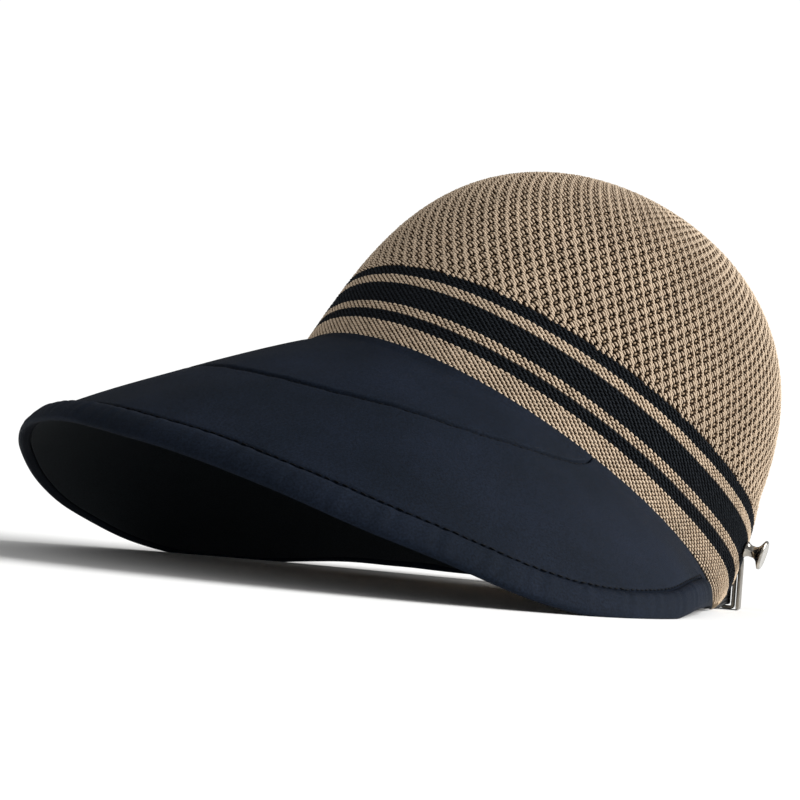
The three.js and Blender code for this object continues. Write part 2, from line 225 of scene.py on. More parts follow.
CROWN_PIECES = table("name rows", [
    ("crown_knit_low", (-1, 6)),
    ("crown_knit_middle", (6, 13)),
    ("crown_knit_high", (13, 20)),
    ("crown_knit_top", (20, 28)),
])
CAP_START = 27.6
CAP_OVERLAP = 0.4
CAP_RIBS = 58
CAP_RIB_HEIGHT = 0.35
CAP_SUNK = 0.2
CAP_WALL = 1.7
CAP_COURSE = 1.378
CAP_STEPS = 26

# Each yarn has its own colour and two darker colours that paint shade: one on the slopes of the
# stitches and the darkest where they dive under and in the grooves between them.
BEIGE = {"yarn": "#d1bda5", "shade": "#a0876e", "pit_shade": "#6b5642"}
# The knobs' colours: the beige yarn painted darker, as the shade deep in the holes.
SHADED_LOOP = {"yarn": "#b09a80", "shade": "#7d674f", "pit_shade": "#4a3828"}
# Dark brown colours for the ground's outer face: painted shade standing in for the dark holes, on
# knit that is plain beige inside.
HOLE_SHADE = {"yarn": "#5a4634", "shade": "#3a2b1e", "pit_shade": "#1d140c"}

SEED = 11
chance = np.random.default_rng(SEED)


def smoothstep(value, low, high):
    share = np.clip((value - low) / (high - low), 0, 1)
    return share * share * (3 - 2 * share)


def to_row(points):
    """Points of the upright hat, in mm, as points of the hat at rest, in metres."""
    x, y, z = points
    lean, drop = math.cos(HAT_PITCH), math.sin(HAT_PITCH)
    placed = np.stack([x, y * lean + z * drop, z * lean - y * drop], -1)
    return (placed + np.array(HAT_PLACE)) * MM


def unit(ways):
    return ways / np.linalg.norm(ways, axis=0)


def length_along(points):
    """How far along a line of points each of them lies."""
    return np.concatenate([[0], np.cumsum(np.linalg.norm(np.diff(points), axis=0))])


def outward(turn):
    return unit(np.stack([np.sin(turn) / HEAD_HALF_WIDTH, -np.cos(turn) / HEAD_HALF_LENGTH,
                          0 * turn]))


def flare(azimuth, height):
    """How far the band bulges out, behind the ears, over its drawn-in lower edge."""
    climb = np.clip(height / FLARE["top"], 0, 1) ** FLARE["power"]
    behind = smoothstep(np.degrees(np.abs(azimuth)), FLARE["from"], FLARE["full"])
    return FLARE["most"] * behind * np.sin(math.pi * climb)


def edge_height(azimuth):
    return FRONT_EDGE_RISE * np.cos(azimuth) + SIDE_EDGE_DIP * np.cos(2 * azimuth)


def head_point(azimuth, radius, height):
    rise = height / CROWN_HEIGHT
    x = radius * (HEAD_HALF_WIDTH / HEAD_HALF_LENGTH) * np.sin(azimuth)
    y = CROWN_LEAN * rise - radius * np.cos(azimuth)
    point = np.stack([x, y, height + edge_height(azimuth) * (1 - rise)])
    return point + outward(azimuth) * flare(azimuth, height)


# The crown's profile from the band's lower edge to the top, with the length along it
profile_rise = 1 - np.linspace(1, 0, PROFILE_STEPS) ** 2
profile_height = profile_rise * CROWN_HEIGHT
profile_radius = HEAD_HALF_LENGTH * (1 - profile_rise ** CROWN_SIDE_POWER) ** (1 / CROWN_TOP_POWER)
profile_length = length_along(np.stack([profile_height, profile_radius]))

# The way round the head from the back by the right, the front and the left
oval_azimuth = np.linspace(-math.pi, math.pi, OVAL_STEPS)
oval_length = length_along(np.stack([HEAD_HALF_WIDTH * np.sin(oval_azimuth),
                                     HEAD_HALF_LENGTH * np.cos(oval_azimuth)]))
BAND_LENGTH = oval_length[-1]


def climb_to(height):
    """The way up the crown's profile to a height."""
    return np.interp(height, profile_height, profile_length)


def head_surface(share, climb):
    """The point this share of the way round the head and this far up the crown."""
    azimuth = np.interp((share % 1) * BAND_LENGTH, oval_length, oval_azimuth)
    radius = np.interp(climb, profile_length, profile_radius)
    return head_point(azimuth, radius, np.interp(climb, profile_length, profile_height))


def head_axes(share, climb):
    """Unit vectors round, up and out of the crown."""
    inside = np.minimum(climb, profile_length[-1] - 2 * AXIS_REACH)
    turn = AXIS_REACH / BAND_LENGTH
    along = unit(head_surface(share + turn, inside) - head_surface(share - turn, inside))
    up = unit(head_surface(share, inside + AXIS_REACH) - head_surface(share, inside - AXIS_REACH))
    return along, up, unit(np.cross(along, up, axis=0))


def on_head(share, climb, lift):
    """A point of the crown, lifted off its face."""
    return head_surface(share, climb) + lift * head_axes(share, climb)[2]


def arch_curve(points):
    """Half of the opening's edge, as its distance from the middle and its height."""
    t = np.linspace(0, 1, points)
    low, shoulder, crown, top = (1 - t) ** 3, 3 * t * (1 - t) ** 2, 3 * t ** 2 * (1 - t), t ** 3
    half = (low * OPENING_HALF_WIDTH + shoulder * OPENING_SHOULDER["half"]
            + crown * OPENING_CROWN["half"])
    height = (-low * FRONT_EDGE_RISE + shoulder * OPENING_SHOULDER["height"]
              + (crown + top) * OPENING_CROWN["height"])
    return half, height


def in_opening(points, margin):
    """Whether points of the upright hat lie in the opening at its back, widened by a margin."""
    x, y, z = points
    half, height = arch_curve(OPENING_STEPS["edge"])
    shrink = OPENING_HALF_WIDTH / (OPENING_HALF_WIDTH + margin)
    top = np.interp(-np.abs(x) * shrink, -half, height, left=-math.inf)
    return (y > OPENING_BEHIND) & (z < top + margin)


def opening_share(climbs, margin):
    """How far round from the middle of the back the opening reaches at each climb."""
    shares = np.linspace(0, OPENING_MOST, OPENING_STEPS["shares"])
    half = []
    for climb in climbs:
        inside = in_opening(on_head(shares, np.full(len(shares), climb), 0), margin)
        half.append(shares[inside].max() if inside.any() else 0)
    return np.array(half)


def row_climb(row):
    """The way up to a row of holes: the rows stand a little wider apart towards the top."""
    return climb_to(BAND_TOP) + FIRST_ROW + ROW_PITCH * row + ROW_GROWTH * row ** 2


def choose(*pieces):
    """Selects just these pieces, the first of them active."""
    bpy.ops.object.select_all(action="DESELECT")
    for piece in pieces:
        piece.select_set(True)
    bpy.context.view_layer.objects.active = pieces[0]


def new_piece(points, faces):
    """A piece with these points of the upright hat, in mm."""
    mesh = bpy.data.meshes.new("piece")
    mesh.from_pydata(to_row(points).tolist(), [], faces)
    piece = bpy.data.objects.new("piece", mesh)
    bpy.context.scene.collection.objects.link(piece)
    return piece


def write_uv(piece, across, up):
    """Writes each point's place in the cloth or the knitting as its UV."""
    layer = piece.data.uv_layers.new(name="cloth")
    corner = np.zeros(len(piece.data.loops), int)
    piece.data.loops.foreach_get("vertex_index", corner)
    layer.data.foreach_set("uv", np.stack([across[corner], up[corner]], -1).ravel())


def face_outwards():
    """Turns all faces of the piece being edited outwards, and leaves edit mode."""
    bpy.ops.mesh.select_all(action="SELECT")
    bpy.ops.mesh.normals_make_consistent(inside=False)
    bpy.ops.object.mode_set(mode="OBJECT")


def merge_points(piece):
    choose(piece)
    bpy.ops.object.mode_set(mode="EDIT")
    bpy.ops.mesh.select_all(action="SELECT")
    bpy.ops.mesh.remove_doubles(threshold=MERGE * MM)
    face_outwards()
    piece.data.shade_smooth()


def loft(sections, across, up, capped=True):
    """Skins closed sections, given as three by stations by points, with a UV for each point."""
    stations, size = sections.shape[1:]
    faces = []
    for i in range(stations - 1):
        for j in range(size):
            k = (j + 1) % size
            faces.append((i * size + j, i * size + k, (i + 1) * size + k, (i + 1) * size + j))
    if capped:
        faces.append(tuple(reversed(range(size))))
        faces.append(tuple(range((stations - 1) * size, stations * size)))
    piece = new_piece(sections.reshape(3, -1), faces)
    write_uv(piece, across.ravel(), up.ravel())
    merge_points(piece)
    return piece


def dress(piece, material):
    piece.data.materials.append(material)
    return piece


def finish_piece(name, slot, nodes, *parts):
    """Joins the parts of a piece, names it and hides the CAD nodes it stands for."""
    choose(*parts)
    if len(parts) > 1:
        bpy.ops.object.join()
    piece = parts[0]
    piece.name = name
    piece.data.name = name
    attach(piece, "root")
    if nodes:
        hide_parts(*nodes)
    return piece


def on_cloth(material):
    """The place on the cloth or the knitting, as the UV's X and Y."""
    uv = add_node(material, "UVMap", uv_map="cloth")
    return add_node(material, "SeparateXYZ", {0: uv})


def swing(material, value, factor, shape="SINE"):
    """A wave that repeats along a value."""
    turn = add_node(material, "Math", {0: value, 1: factor}, operation="MULTIPLY")
    return add_node(material, "Math", {0: turn}, operation=shape)


def vary(material, colour, specks, dark, light):
    """A colour that uneven specks make darker or lighter, between these two factors."""
    factor = add_node(material, "MapRange", {"Value": specks, "From Min": 0.3, "From Max": 0.7,
                                             "To Min": dark, "To Max": light})
    return add_node(material, "VectorMath", {0: colour, "Scale": factor}, operation="SCALE")


def spun(material, colour, normal):
    """Finishes a cotton yarn: matt, with hairs a quarter of a millimetre apart, drawn wider
    than they are so that they show, and uneven dye over 15 mm."""
    fibre = speckle(material, 4000)
    dyed = vary(material, colour, speckle(material, 65, detail=3), 0.92, 1.06)
    flecked = vary(material, dyed, fibre, 0.85, 1.1)
    fuzz = add_node(material, "Bump", {"Height": fibre, "Distance": 0.08 * MM, "Strength": 0.6,
                                       "Normal": normal})
    return surface(material, {"Base Color": flecked, "Roughness": 0.9,
                              "Specular IOR Level": 0.12, "Normal": fuzz})


def make_knit(name, colours):
    """Matt cotton yarn in slanting stitches, whose UV counts wales across and courses up.
    The stitches keep the yarn's colour on their rounded tops and are painted darker as shade towards
    where they dive under."""
    knit = new_material(name)
    place = on_cloth(knit)
    wale = add_node(knit, "Math", {0: place.outputs["X"]}, operation="FRACT")
    slant = add_node(knit, "Math", {0: wale, 1: KNIT_SLANT, 2: place.outputs["Y"]},
                     operation="MULTIPLY_ADD")
    course = add_node(knit, "Math", {0: slant}, operation="FRACT")
    across, up = [
        add_node(knit, "Math", {0: swing(knit, count, math.pi), 1: KNIT_ROUNDNESS},
                 operation="POWER") for count in (wale, course)]
    top = add_node(knit, "Math", {0: across, 1: up}, operation="MULTIPLY")
    tone = add_node(knit, "ValToRGB", {"Fac": top}, stops=(
        (0.25, colours["pit_shade"]), (0.55, colours["shade"]), (0.9, colours["yarn"])))
    stitch = add_node(knit, "Bump", {"Height": top, "Distance": 0.5 * MM, "Strength": 0.9})
    return spun(knit, tone, stitch)


def make_yarn(name, colours, groove):
    """The same matt cotton on stitches that are modelled: the yarn's own colour along the middle,
    painted darker as shade towards the groove where one stitch lies against the next. The UV runs
    along and across it."""
    yarn = new_material(name)
    place = on_cloth(yarn)
    across = add_node(yarn, "Math", {0: place.outputs["X"], 1: GROOVE_SLANT,
                                     2: place.outputs["Y"]}, operation="MULTIPLY_ADD")
    top = swing(yarn, across, math.pi, "COSINE")
    tone = add_node(yarn, "ValToRGB", {"Fac": top}, stops=(
        (groove / 2, colours["pit_shade"]), (groove, colours["shade"]),
        ((1 + groove) / 2, colours["yarn"])))
    ridge = add_node(yarn, "Bump", {"Height": top, "Distance": 0.25 * MM, "Strength": 0.7})
    return spun(yarn, tone, ridge)


def start_from(add_primitive, **settings):
    """Adds a primitive with nothing else selected, and opens it for editing."""
    bpy.ops.object.select_all(action="DESELECT")
    add_primitive(**settings)
    bpy.ops.object.mode_set(mode="EDIT")
    return bpy.context.object


def stitch_template(length, height, depth, tilt=0, dive=0, sides=6):
    """One stitch as a small bead that slants across the knitting and dives under the next:
    its points, given round, up and out, its faces and the points' places on the yarn."""
    bead = start_from(bpy.ops.mesh.primitive_uv_sphere_add, segments=sides, ring_count=3,
                      radius=0.5)
    bpy.ops.transform.resize(value=(height, depth, length))
    bpy.ops.object.mode_set(mode="OBJECT")
    faces = [tuple(face.vertices) for face in bead.data.polygons]
    slant = Matrix.Rotation(math.radians(tilt), 3, "Z") @ Matrix.Rotation(math.radians(dive), 3, "Y")
    spots = [point.co for point in bead.data.vertices]
    points = np.array([slant @ Vector((spot.z, spot.x, spot.y)) for spot in spots])
    places = np.array([(spot.z, spot.x / height) for spot in spots])
    bpy.data.objects.remove(bead)
    return points, faces, places


def copy_stitches(template, middles, axes, width=1):
    """Copies a stitch to each middle, along the axes there, no two quite alike."""
    flat, faces, places = template
    amount = middles.shape[1]
    turn = np.radians(chance.normal(0, JITTER["turn"], amount))[:, None]
    size = 1 + chance.normal(0, JITTER["size"], amount)[:, None]
    across = (flat[:, 0] * np.cos(turn) - flat[:, 1] * np.sin(turn)) * size * width
    up = (flat[:, 0] * np.sin(turn) + flat[:, 1] * np.cos(turn)) * size
    out = flat[:, 2] + chance.normal(0, JITTER["lift"], amount)[:, None]
    points = middles[:, :, None] + sum(axis[:, :, None] * reach
                                       for axis, reach in zip(axes, (across, up, out)))
    copies = [tuple(start + i for i in face)
              for start in range(0, amount * len(flat), len(flat)) for face in faces]
    piece = new_piece(points.reshape(3, -1), copies)
    write_uv(piece, *np.tile(places, (amount, 1)).T)
    piece.data.shade_smooth()
    return piece


def lay_stitches(template, share, climb, lift):
    """Lays stitches on the head that keep clear of the opening's hem."""
    share, climb = share.ravel(), climb.ravel()
    middles = on_head(share, climb, lift)
    keep = ~in_opening(middles, HEM_MARGIN)
    radius = np.interp(climb[keep], profile_length, profile_radius)
    axes = [axis[:, keep] for axis in head_axes(share, climb)]
    return copy_stitches(template, middles[:, keep], axes, radius[:, None] / HEAD_HALF_LENGTH)


def make_strands(first, last):
    """The stitches between two rows of holes, in pairs of strands that part at each hole.
    Each strand lags the last, so that their slanting courses run on into each other."""
    rows = np.arange(first * COURSES_PER_HOLE, last * COURSES_PER_HOLE) / COURSES_PER_HOLE
    row, column, side = np.meshgrid(rows, np.arange(HOLES_AROUND), (-1, 1))
    way = (column + side * STRAND_APART) / HOLES_AROUND * BAND_LENGTH
    fall = way * math.tan(math.radians(-CROWN_STITCH["tilt"])) * COURSES_PER_HOLE / ROW_PITCH
    row = row + (0.5 - fall % 1) / COURSES_PER_HOLE
    wave = np.cos(math.pi * row)
    started = smoothstep(row, STRANDS_PART["from"], STRANDS_PART["full"])
    parting = np.sign(wave) * np.abs(wave) ** STRAND_BEND * started
    share = (column + side * (STRAND_APART + STRAND_SWAY * parting)) / HOLES_AROUND
    return lay_stitches(crown_bead, share, row_climb(row), STRAND_LIFT)


def make_loops(first, last):
    """A knob of tucked yarn, deep in each hole of these rows."""
    row, column = np.meshgrid(np.arange(max(first, 0), last), np.arange(HOLES_AROUND))
    share = (column + (row % 2) / 2) / HOLES_AROUND
    return lay_stitches(loop_bead, share, row_climb(row + LOOP_RISE), LOOP_LIFT)


def make_ground(low, high, front):
    """The ground of the knitting between two climbs, cut off along the opening."""
    climbs = np.linspace(low, high, max(2, round((high - low) / COURSE / 2)))
    climbs = np.concatenate([climbs, climbs[::-1]])
    outside = np.arange(len(climbs)) < len(climbs) / 2
    cut = opening_share(climbs, GROUND_MARGIN)
    way = np.linspace(0, 1, GROUND_COLUMNS + 1)[:, None]
    shares = cut + way * (1 - 2 * cut)
    lift = np.where(outside, front, -KNIT) + 0 * way
    grid = on_head(shares.ravel(), np.tile(climbs, len(way)), lift.ravel())
    courses = np.tile(climbs / COURSE, (len(way), 1))
    return loft(grid.reshape(3, len(way), -1), shares * STITCH_COLUMNS, courses)


def line_inside(piece, material):
    """Gives the faces that look into the hat a material of their own."""
    piece.data.materials.append(material)
    middle = Vector(to_row(np.array([[0], [0], [BAND_TOP]]))[0])
    for face in piece.data.polygons:
        if face.normal.dot(face.center - middle) < 0:
            face.material_index = 1
    return piece


def make_cap():
    """The top of the crown, where the stitches close up into ribs that meet in the middle."""
    start, end = row_climb(CAP_START), profile_length[-1]
    climbs = np.linspace(start, end, CAP_STEPS)
    climbs = np.concatenate([climbs, climbs[::-1]])
    front = np.arange(len(climbs)) < CAP_STEPS
    shares = np.linspace(0, 1, 4 * CAP_RIBS + 1)[:, None]
    flatten = np.clip((end - climbs) / (end - start), 0, 1) ** 0.5
    ribs = CAP_RIB_HEIGHT * np.cos(2 * math.pi * CAP_RIBS * shares) * flatten
    lift = np.where(front, ribs - CAP_SUNK, -CAP_WALL)
    grid = on_head(*[part.ravel() for part in np.broadcast_arrays(shares, climbs, lift)])
    wales = shares * STITCH_COLUMNS + 0 * climbs
    courses = (climbs - start) / CAP_COURSE + 0 * shares
    return loft(grid.reshape(3, len(shares), -1), wales, courses, capped=False)


beige_knit = make_knit("beige cotton knit", BEIGE)
hole_shade_knit = make_knit("beige cotton knit, painted dark as the holes' shade", HOLE_SHADE)
crown_yarn = make_yarn("beige cotton yarn", BEIGE, CROWN_GROOVE_SHADE)
# The knobs' yarn is the beige painted darker, as painted shade deep in the holes.
shaded_loop_yarn = make_yarn("beige cotton yarn, painted darker as shade in the holes", SHADED_LOOP, BAND_GROOVE_SHADE)
crown_bead = stitch_template(**CROWN_STITCH, sides=YARN_SIDES)
loop_bead = stitch_template(**TUCK_LOOP, sides=YARN_SIDES)

for part in CROWN_PIECES:
    made = [dress(make_strands(*part["rows"]), crown_yarn),
            dress(make_loops(*part["rows"]), shaded_loop_yarn)]
    if part is CROWN_PIECES[-1]:
        made.append(dress(make_cap(), beige_knit))
    finish_piece(part["name"], "knit_beige", ["crown_mesh"], *made)

# The ground's outer face is painted dark as the shade in the holes; its inner face is the plain
# beige knit.
ground = make_ground(climb_to(BAND_TOP), row_climb(CAP_START + CAP_OVERLAP),
                     GROUND_LIFT["crown"])
finish_piece("crown_knit_ground", "knit_beige", ["crown_mesh"],
             line_inside(dress(ground, hole_shade_knit), beige_knit))

# Band
# Six stripes of close knitting in beige and near-black yarn, knitted in one with the
# crown: slanting stitches laid like bricks, with a small gap between each and the next where the
# ground shows, painted dark brown as shade under the beige stripes.

STRIPES = table("name low high yarn", [
    ("band_hem_stripe", 0, 8.5, "beige"),
    ("band_dark_stripe_low", 8.5, 13.1, "dark"),
    ("band_beige_stripe_low", 13.1, 16.8, "beige"),
    ("band_dark_stripe_wide", 16.8, 26.4, "dark"),
    ("band_beige_stripe_high", 26.4, 30.4, "beige"),
    ("band_dark_stripe_high", 30.4, 35, "dark"),
])
# The near-black yarn's two darker colours likewise paint shade where its stitches dive under and
# meet.
DARK = {"yarn": "#1c2025", "shade": "#0d0f13", "pit_shade": "#030405"}
BAND_COURSE = 0.88
BAND_STITCH = {"length": 2.15, "height": 1.02, "depth": 1.0, "tilt": -7, "dive": 4}
BAND_STITCH_LIFT = -0.4


def make_stitches(low, high):
    """The stitches of a stripe between two climbs."""
    rows = round((high - low) / BAND_COURSE)
    row, column = np.meshgrid(np.arange(rows), np.arange(STITCH_COLUMNS))
    climb = low + (row + 0.5) * (high - low) / rows
    share = (column + (row % 2) / 2) / STITCH_COLUMNS
    return lay_stitches(band_bead, share, climb, BAND_STITCH_LIFT)


band_bead = stitch_template(**BAND_STITCH, sides=YARN_SIDES)
dark_knit = make_knit("near-black cotton knit", DARK)
# Under the beige stripes the ground's outer face is painted dark brown as shade, so the gaps between
# stitches read dark; the dark stripes' ground is their own near-black knit.
knits = {"beige": (hole_shade_knit, beige_knit), "dark": (dark_knit, dark_knit)}
yarns = {"beige": make_yarn("beige cotton yarn, knitted close", BEIGE, BAND_GROOVE_SHADE),
         "dark": make_yarn("near-black cotton yarn", DARK, BAND_GROOVE_SHADE)}

for stripe in STRIPES:
    low, high = climb_to(stripe["low"]), climb_to(stripe["high"])
    outside, inside = knits[stripe["yarn"]]
    ground = dress(make_ground(low, high, GROUND_LIFT["band"]), outside)
    finish_piece(stripe["name"] + "_knit", f"knit_{stripe['yarn']}", [stripe["name"]],
                 dress(make_stitches(low, high), yarns[stripe["yarn"]]),
                 line_inside(ground, inside))

# Opening hem
# The knitting's cut edge round the opening at the back, folded under and pressed, so
# that it is smooth for 5 mm; each stripe runs through it in its own colour.

HEM = {"inner": -0.4, "outer": 5.2, "top": 0.3, "bottom": -2.25}
HEM_CORNER = 0.8
PRESSED = {"beige": "#b39f87", "dark": "#12151a"}
ARCH_STEPS = 110
ARCH_GUESS = 0.01
ARCH_ROUNDS = 12
HEM_START = -0.3
STRIPE_RAMP = 100


def rounded_section(left, right, low, high, corner, steps=3):
    """A rectangle with rounded corners, as points across and up."""
    points = []
    for x, y, turn in ((right - corner, low + corner, -90), (right - corner, high - corner, 0),
                       (left + corner, high - corner, 90), (left + corner, low + corner, 180)):
        for angle in np.radians(np.linspace(turn, turn + 90, steps)):
            points.append((x + corner * math.cos(angle), y + corner * math.sin(angle)))
    return np.array(points)


def arch_path():
    """The opening's edge on the crown as shares round it and heights, from left to right."""
    half, z = arch_curve(ARCH_STEPS)
    x = np.concatenate([half, -half[-2::-1]])
    z = np.concatenate([z, z[-2::-1]])
    # A first guess of the place on the crown, made exact round by round
    height, azimuth = z, math.pi - ARCH_GUESS * x
    for _ in range(ARCH_ROUNDS):
        radius = np.interp(height, profile_height, profile_radius)
        bulge = outward(azimuth)[0] * flare((azimuth + math.pi) % (2 * math.pi) - math.pi, height)
        azimuth = math.pi - np.arcsin((x - bulge) / radius * HEAD_HALF_LENGTH / HEAD_HALF_WIDTH)
        edge = edge_height(azimuth)
        height = (z - edge) / (1 - edge / CROWN_HEIGHT)
    azimuth = np.where(azimuth > math.pi, azimuth - 2 * math.pi, azimuth)
    share = np.interp(azimuth, oval_azimuth, oval_length) / BAND_LENGTH
    return share[height > HEM_START], np.maximum(height[height > HEM_START], 0)


def make_opening_hem():
    share, height = arch_path()
    climb = climb_to(height)
    middle, out = head_surface(share, climb), head_axes(share, climb)[2]
    side = np.cross(out, unit(np.gradient(middle, axis=1)), axis=0)
    section = rounded_section(HEM["inner"], HEM["outer"], HEM["bottom"], HEM["top"], HEM_CORNER)
    across, up = section.T
    sag = across ** 2 / (2 * HEAD_HALF_LENGTH)
    points = middle[:, :, None] + side[:, :, None] * across + out[:, :, None] * (up - sag)
    way = length_along(middle)[:, None] + 0 * across
    return loft(points, way, height[:, None] + side[2][:, None] * across)


def make_pressed_knit():
    """Pressed cotton knit, striped by its UV's height: fine and flat, with faint courses."""
    cloth = new_material("pressed cotton knit hem")
    place = on_cloth(cloth)
    height = add_node(cloth, "Math", {0: place.outputs["Y"], 1: 1 / STRIPE_RAMP},
                      operation="MULTIPLY")
    stops = [(stripe["low"] / STRIPE_RAMP, PRESSED[stripe["yarn"]]) for stripe in STRIPES]
    stops.append((BAND_TOP / STRIPE_RAMP, PRESSED["beige"]))
    tone = add_node(cloth, "ValToRGB", {"Fac": height}, stops=stops)
    tone.color_ramp.interpolation = "CONSTANT"
    course = add_node(cloth, "Bump", {
        "Height": swing(cloth, place.outputs["Y"], 2 * math.pi / COURSE),
        "Distance": 0.12 * MM, "Strength": 0.8})
    return spun(cloth, tone, course)


finish_piece("opening_hem", "knit_beige", ["crown_mesh"],
             dress(make_opening_hem(), make_pressed_knit()))

# Brim
# Two layers of navy sun cloth, a crescent beside the band and the wide panel beyond it,
# joined by a topstitched seam, over a black lining; a padded hem rolls round the edge.

BRIM_SECTIONS = table("azimuth width slope", [
    (0, 112, 47.5),
    (25, 110, 48.5),
    (50, 107, 47),
    (70, 93, 45.5),
    (85, 67, 43.5),
    (97, 42, 42.5),
    (110, 22.5, 46.5),
    (124, 9, 52),
    (137, 2.4, 54),
])
BRIM_END = 137
PANEL_END = 129.8
CRESCENT_REACH = 73.98
BRIM_UNDER_BAND = -2.4
LINING_UNDER_BAND = -1.2
BRIM_ARCH = 0.018
BRIM_TUCK = 0.6
BAND_SEAM = {"rise": 0.9, "reach": 4}
CLOTH_WAVES = table("size round across phase", [
    (0.22, 7, 0.03, 1),
    (0.154, 13, -0.06, 2),
    (0.11, 23, 0.11, 0),
])
SEAM_PUCKERS = table("size round across phase", [
    (0.09, 61, 0, 0),
    (0.054, 97, 0, 1),
])
HEM_PUCKERS = table("size round across phase", [
    (0.1, 150, 0, 0),
    (0.06, 211, 0, 1),
    (0.05, 89, 0, 0),
])
PUCKER_REACH = 5
PANEL = 1.4
LINING = 1.2
GAP = 0.3
PANEL_COLUMNS = 22
PANEL_LEAST = 0.02
SEAM_SHARE = 2.4
RELIEF_FULL_AT = 12
CLOTH_RADIUS = 1.5 * HEAD_HALF_LENGTH
CRESCENT_DEPTH = 54
CRESCENT_END = 74
CRESCENT_POWER = 0.75
STATIONS = {"crescent": 200, "panel": 320, "hem": 560, "stitching": 2400}
HEM_WIDTH = 12
HEM_FULL_AT = 18
HEM_CURVE_STEPS = 4
HEM_RADIUS = 2 * HEAD_HALF_LENGTH
LINING_SHORT = 4
HEM_OUTLINE = table("across up turned", [
    (0, -1.2, False),
    (0.8, 0.4, True),
    (3.6, 1.75, True),
    (7.4, 1.5, True),
    (10.6, 0.25, True),
    (12, -1.2, True),
    (11.2, -2.6, True),
    (9, -2.9, True),
    (8, -2.9, False),
    (8, -1.4, False),
    (0, -1.4, False),
])
SEAM_STEPS = [0, 0.3, 0.6, 1, 1.5, 2.1, 3, 4.5, 6.5]
SEAM_DIP = 1.3
SEAM_REACH = 0.85
NAVY = {"cloth": "#0d141e", "worn": "#151c29", "thread": "#080b11", "between": "#05070a"}
WEAVE = 0.5
LINING_BLACK = "#24292e"


def curve_value(value, slope, i, share, span=1):
    """A smooth curve's value this share of the way from its knot i to the next."""
    rest = 1 - share
    return (rest * rest * (1 + 2 * share) * value[i]
            + share * share * (1 + 2 * rest) * value[i + 1]
            + share * rest * span * (rest * slope[i] - share * slope[i + 1]))


def smooth(column, azimuth):
    """A column of the brim's sections, blended smoothly between them."""
    at = np.array([section["azimuth"] for section in BRIM_SECTIONS], float)
    value = np.array([section[column] for section in BRIM_SECTIONS], float)
    secant = np.diff(value) / np.diff(at)
    slope = np.concatenate([[0], (secant[1:] + secant[:-1]) / 2, secant[-1:]])
    azimuth = np.clip(np.abs(azimuth), 0, at[-1])
    i = np.clip(np.searchsorted(at, azimuth, side="right") - 1, 0, len(at) - 2)
    span = at[i + 1] - at[i]
    return curve_value(value, slope, i, (azimuth - at[i]) / span, span)


def unevenness(waves, azimuth, across=0):
    """How far stitched cloth rises and falls, in mm: a sum of waves round the brim."""
    turn = np.radians(azimuth)
    return sum(wave["size"] * np.sin(wave["round"] * turn + wave["across"] * across
                                     + wave["phase"]) for wave in waves)


def brim_surface(azimuth, across, up):
    """A point this far from the band across the brim, and this far above its face."""
    turn, slope = np.radians(azimuth), np.radians(smooth("slope", azimuth))
    width = smooth("width", azimuth)
    share = across / width
    rise = up + BRIM_ARCH * width * 4 * share * (1 - share)
    rise = rise + unevenness(CLOTH_WAVES, azimuth, across) * np.clip(across / HEM_WIDTH, 0, 1)
    rise = rise + BAND_SEAM["rise"] * np.clip(1 - across / BAND_SEAM["reach"], 0, 1)
    points = head_point(turn, HEAD_HALF_LENGTH - BRIM_TUCK, 0 * turn)
    points = points + outward(turn) * (np.cos(slope) * across + np.sin(slope) * rise)
    points[2] += np.cos(slope) * rise - np.sin(slope) * across - BRIM_TUCK
    return pressed(points)


rest_way = np.array([0, -math.sin(HAT_PITCH), math.cos(HAT_PITCH)])
rest_level = -HAT_PLACE[2]


def pressed(points):
    """Cloth that would reach below the floor lies flat on it."""
    below = np.maximum(rest_level - rest_way @ points, 0)
    return points + rest_way[:, None] * below


def brim_grid(azimuth, across, up):
    """Brim points for a section of points at each azimuth."""
    stations, across, up = np.broadcast_arrays(azimuth[:, None], across, up)
    flat = brim_surface(stations.ravel(), across.ravel(), up.ravel())
    return flat.reshape(3, *across.shape)


def hem_width(azimuth):
    return HEM_WIDTH * np.minimum(1, smooth("width", azimuth) / HEM_FULL_AT)


def seam_across(azimuth):
    return smooth("width", azimuth) - hem_width(azimuth)


def crescent_depth(azimuth):
    share = np.minimum(np.abs(azimuth) / CRESCENT_END, 1)
    return CRESCENT_DEPTH * (1 - share ** 2) ** CRESCENT_POWER


def panel_sections(start, end):
    """Distances across a panel at each azimuth, close together beside its seams."""
    near = np.array(SEAM_STEPS)
    middle = np.linspace(0, 1, PANEL_COLUMNS)[1:-1]
    width = np.maximum(end - start, PANEL_LEAST)
    squeeze = np.minimum(1, width / (SEAM_SHARE * near[-1]))[:, None]
    inner = width[:, None] - 2 * near[-1] * squeeze
    return np.concatenate([start[:, None] + near * squeeze,
                           start[:, None] + near[-1] * squeeze + inner * middle,
                           end[:, None] - near[::-1] * squeeze], axis=1)


def seam_relief(azimuth, distance):
    """How far cloth dips beside a seam, and how it puckers between the stitches."""
    puckers = unevenness(SEAM_PUCKERS, azimuth) * np.exp(-distance / PUCKER_REACH)
    return puckers - SEAM_DIP * np.exp(-(distance / SEAM_REACH) ** 2)


def make_panel(azimuth, start, end, top, thickness, dipped):
    """One layer of cloth between two distances from the band, dipped beside some seams."""
    across = panel_sections(start, end)
    relief = np.zeros(across.shape)
    for seam, wanted in zip((start, end), dipped):
        if wanted:
            relief += seam_relief(azimuth[:, None], np.abs(across - seam[:, None]))
    upper = top + relief * np.clip((end - start) / RELIEF_FULL_AT, 0, 1)[:, None]
    lower = np.full(across.shape, top - thickness)
    across = np.concatenate([across, across[:, ::-1]], axis=1)
    up = np.concatenate([upper, lower], axis=1)
    way = CLOTH_RADIUS * np.radians(azimuth)[:, None] + 0 * across
    return loft(brim_grid(azimuth, across, up), way, across)


